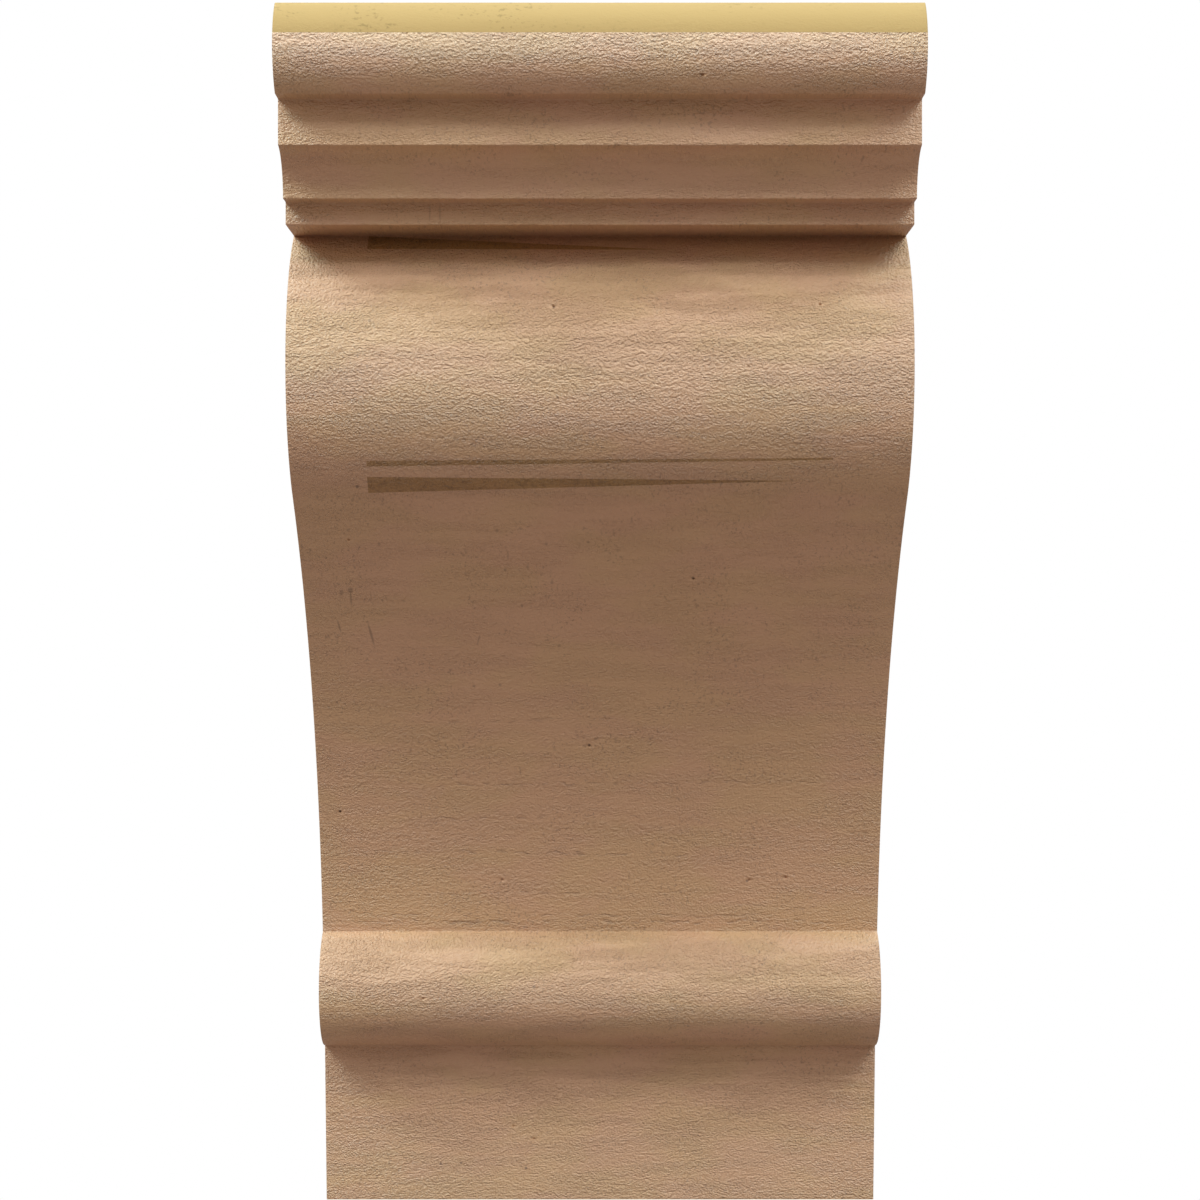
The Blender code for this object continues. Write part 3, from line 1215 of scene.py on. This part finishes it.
    def sink_pinhole(self, bm: bmesh.types.BMesh, across: float, height: float) -> None:
        """Opens one pinhole: a small pit with a ring of faces round it, in the place of four faces.

        Args:
            bm: The moulding's mesh.
            across: The pinhole's place across the corbel.
            height: Its height above the origin.
        """
        aim = Vector((across, height)) * MM
        fronts = (vert for vert in bm.verts if vert.co.y < -self.front_depth * MM)
        centre = min(fronts, key=lambda vert: (Vector((vert.co.x, vert.co.z)) - aim).length)
        middle = centre.co.copy()
        inward = -centre.normal
        aside = Vector((1.0, 0.0, 0.0)).cross(inward).normalized()
        up = inward.cross(aside)
        turns = {
            vert: math.atan2((vert.co - middle).dot(up), (vert.co - middle).dot(aside))
            for face in centre.link_faces
            for vert in face.verts
            if vert is not centre
        }
        border = sorted(turns, key=turns.get)
        bmesh.ops.delete(bm, geom=[centre], context="VERTS")
        rings = [border]
        for radius, depth in self.pinhole_rings:
            reach = [aside * math.cos(turns[vert]) + up * math.sin(turns[vert]) for vert in border]
            rings.append([bm.verts.new(middle + (away * radius + inward * depth) * MM) for away in reach])
        for outer, inner in zip(rings, rings[1:]):
            for i in range(len(border)):
                bm.faces.new((outer[i - 1], outer[i], inner[i], inner[i - 1])).smooth = True
        bm.faces.new(rings[-1]).smooth = True

    def build(self) -> Object:
        """Makes the finished moulding and puts it in the frame.

        Returns:
            The moulding, which stands for the CAD solid.
        """
        material = self.finish.build()
        moulding = self.swept(material)
        bm = bmesh.new()
        bm.from_mesh(moulding.data)
        for side in (-1, 1):
            self.close_end(bm, side)
        bmesh.ops.recalc_face_normals(bm, faces=bm.faces)
        bm.normal_update()
        for across, height in self.pinholes:
            self.sink_pinhole(bm, across, height)
        bmesh.ops.recalc_face_normals(bm, faces=bm.faces)
        open_edges = sum(not edge.is_manifold for edge in bm.edges)
        bm.to_mesh(moulding.data)
        bm.free()
        for name in CARRIED:
            moulding.data.attributes.remove(moulding.data.attributes[name])
        moulding.data.calc_loop_triangles()
        LOG.info(
            "corbel_moulding: %d triangles, %d open edges", len(moulding.data.loop_triangles), open_edges
        )
        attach(moulding, BODY)
        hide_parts(CAD_NODE)
        return moulding


@dataclass(frozen=True)
class Softbox:
    """A square soft light that faces the corbel.

    Attributes:
        name: The light's name.
        bearing_deg: Its direction seen from above, 0 in front of the corbel and rising to the right.
        rise_deg: Its direction above the level.
        side: The length of its sides, in metres.
        power: The watts of red, green and blue light.
    """

    name: str
    bearing_deg: float
    rise_deg: float
    side: float
    power: tuple[float, float, float]

    def build(self, distance: float) -> Object:
        """Hangs the light so that it faces the origin.

        Args:
            distance: How far from the origin it hangs, in metres.

        Returns:
            The light.
        """
        light = bpy.data.lights.new(self.name, "AREA")
        light.size = self.side
        light.energy = max(self.power)
        light.color = [share / light.energy for share in self.power]
        box = bpy.data.objects.new(self.name, light)
        bearing = math.radians(self.bearing_deg)
        rise = math.radians(self.rise_deg)
        level = math.cos(rise)
        away = Vector((math.sin(bearing) * level, -math.cos(bearing) * level, math.sin(rise)))
        box.location = away * distance
        box.rotation_euler = away.to_track_quat("Z", "Y").to_euler()
        bpy.context.scene.collection.objects.link(box)
        return box


@dataclass(frozen=True)
class Studio:
    """A pale floor, a soft sky, a few softboxes, and the camera straight in front.

    Attributes:
        softbox_distance: How far from the origin every softbox hangs, in metres.
        softboxes: The softboxes.
        sky: The sky's bands of light, from straight below up. Each has how high it starts, from -1
            to 1, and red, green and blue.
        sky_brightest: The light that counts as full in the sky's ramp.
        floor_height: The height of the floor in metres.
        floor_side: The length of its sides in metres.
        floor_colour: Its colour.
        floor_roughness: Its roughness, that of matt board.
        camera_distance: How far in front of the wall plane the camera stands, in metres.
        focal_length: The lens's focal length, in millimetres.
        sensor_width: The width of its picture, in millimetres.
        rise_pixels: How far the picture's middle lies above the horizon.
        picture_pixels: The picture's width, in the same pixels.
    """

    softbox_distance: float = 1.6
    softboxes: tuple[Softbox, ...] = (
        Softbox("front_softbox", 0, 66, 0.4, (5.0, 7.8, 9.6)),
        Softbox("left_softbox", -40, 45, 0.5, (9.5, 10.1, 10.1)),
        Softbox("far_left_softbox", -70, 45, 0.5, (8.8, 12.6, 13.6)),
        Softbox("right_softbox", 40, 45, 0.5, (8.9, 9.7, 9.7)),
        Softbox("far_right_softbox", 70, 45, 0.5, (1.9, 3.9, 5.0)),
    )
    sky: tuple[tuple[float, tuple[float, float, float]], ...] = (
        (-1.0, (0.415, 0.36, 0.34)),
        (-0.5, (0.31, 0.25, 0.235)),
        (0.0, (0.59, 0.535, 0.50)),
        (0.5, (1.26, 1.32, 1.36)),
    )
    sky_brightest: float = 2.0
    floor_height: float = -0.45
    floor_side: float = 2.0
    floor_colour: str = "#B4B2AF"
    floor_roughness: float = 0.8
    camera_distance: float = 0.7446
    focal_length: float = 76.5
    sensor_width: float = 36.0
    rise_pixels: float = 53.0
    picture_pixels: float = 1200.0

    def build(self) -> None:
        """Sets up the light, the floor and the camera."""
        for softbox in self.softboxes:
            softbox.build(self.softbox_distance)
        self.build_sky()
        self.build_floor()
        self.build_camera()
        bpy.context.scene.view_settings.view_transform = "Standard"

    def build_sky(self) -> None:
        """Hangs a sky that is bright above and dim below, and that the camera sees as plain white."""
        world = bpy.data.worlds.new("soft_sky")
        world.use_nodes = True
        tree = world.node_tree
        way = add_node(tree, "ShaderNodeTexCoord").outputs["Generated"]
        up = add_node(tree, "ShaderNodeSeparateXYZ", {0: way}).outputs["Z"]
        place = add_node(tree, "ShaderNodeMapRange", {"Value": up, "From Min": -1.0, "From Max": 1.0})
        ramp = add_node(tree, "ShaderNodeValToRGB", {"Fac": place})
        bands = ramp.color_ramp
        bands.interpolation = "CONSTANT"
        for i, (height, light) in enumerate(self.sky):
            stop = bands.elements[0] if i == 0 else bands.elements.new((height + 1) / 2)
            stop.position = (height + 1) / 2
            stop.color = (*(share / self.sky_brightest for share in light), 1.0)
        bands.elements.remove(bands.elements[-1])
        dim = add_node(tree, "ShaderNodeBackground", {"Color": ramp, "Strength": self.sky_brightest})
        white = add_node(tree, "ShaderNodeBackground", {"Color": (1.0, 1.0, 1.0, 1.0)})
        seen = add_node(tree, "ShaderNodeLightPath").outputs["Is Camera Ray"]
        either = add_node(tree, "ShaderNodeMixShader", {0: seen, 1: dim, 2: white})
        tree.links.new(either.outputs[0], tree.nodes["World Output"].inputs["Surface"])
        bpy.context.scene.world = world

    def build_floor(self) -> None:
        """Lays a pale floor below the corbel, which doesn't throw light back up at it."""
        mesh = bpy.data.meshes.new("studio_floor")
        bm = bmesh.new()
        bmesh.ops.create_grid(bm, x_segments=1, y_segments=1, size=self.floor_side / 2)
        bmesh.ops.translate(bm, verts=bm.verts, vec=(0.0, 0.0, self.floor_height))
        bm.to_mesh(mesh)
        bm.free()
        floor = bpy.data.objects.new("studio_floor", mesh)
        material = bpy.data.materials.new("pale_matt_board")
        material.use_nodes = True
        shader = material.node_tree.nodes["Principled BSDF"]
        shader.inputs["Base Color"].default_value = linear(self.floor_colour)
        shader.inputs["Roughness"].default_value = self.floor_roughness
        mesh.materials.append(material)
        floor.visible_diffuse = False
        floor.visible_glossy = False
        floor.visible_shadow = False
        bpy.context.scene.collection.objects.link(floor)

    def build_camera(self) -> None:
        """Stands a level camera straight in front, with the horizon below the picture's middle."""
        camera = bpy.data.cameras.new("front_camera")
        camera.lens = self.focal_length
        camera.sensor_width = self.sensor_width
        camera.shift_y = self.rise_pixels / self.picture_pixels
        seat = bpy.data.objects.new("front_camera", camera)
        seat.location = (0.0, -self.camera_distance, 0.0)
        seat.rotation_euler = (math.pi / 2, 0.0, 0.0)
        bpy.context.scene.collection.objects.link(seat)
        bpy.context.scene.camera = seat


def clear_startup_objects() -> None:
    """Removes the startup scene's cube, camera and lamp."""
    for name in ("Cube", "Camera", "Light"):
        if name in bpy.data.objects:
            bpy.data.objects.remove(bpy.data.objects[name])


def main() -> None:
    """Builds the studio and the moulding."""
    logging.basicConfig(level=logging.INFO, format="%(name)s: %(message)s")
    clear_startup_objects()
    Studio().build()
    LOG.info("studio: done")
    moulding = Moulding().build()
    LOG.info("%s: done", moulding.name)


if __name__ == "__main__":
    main()
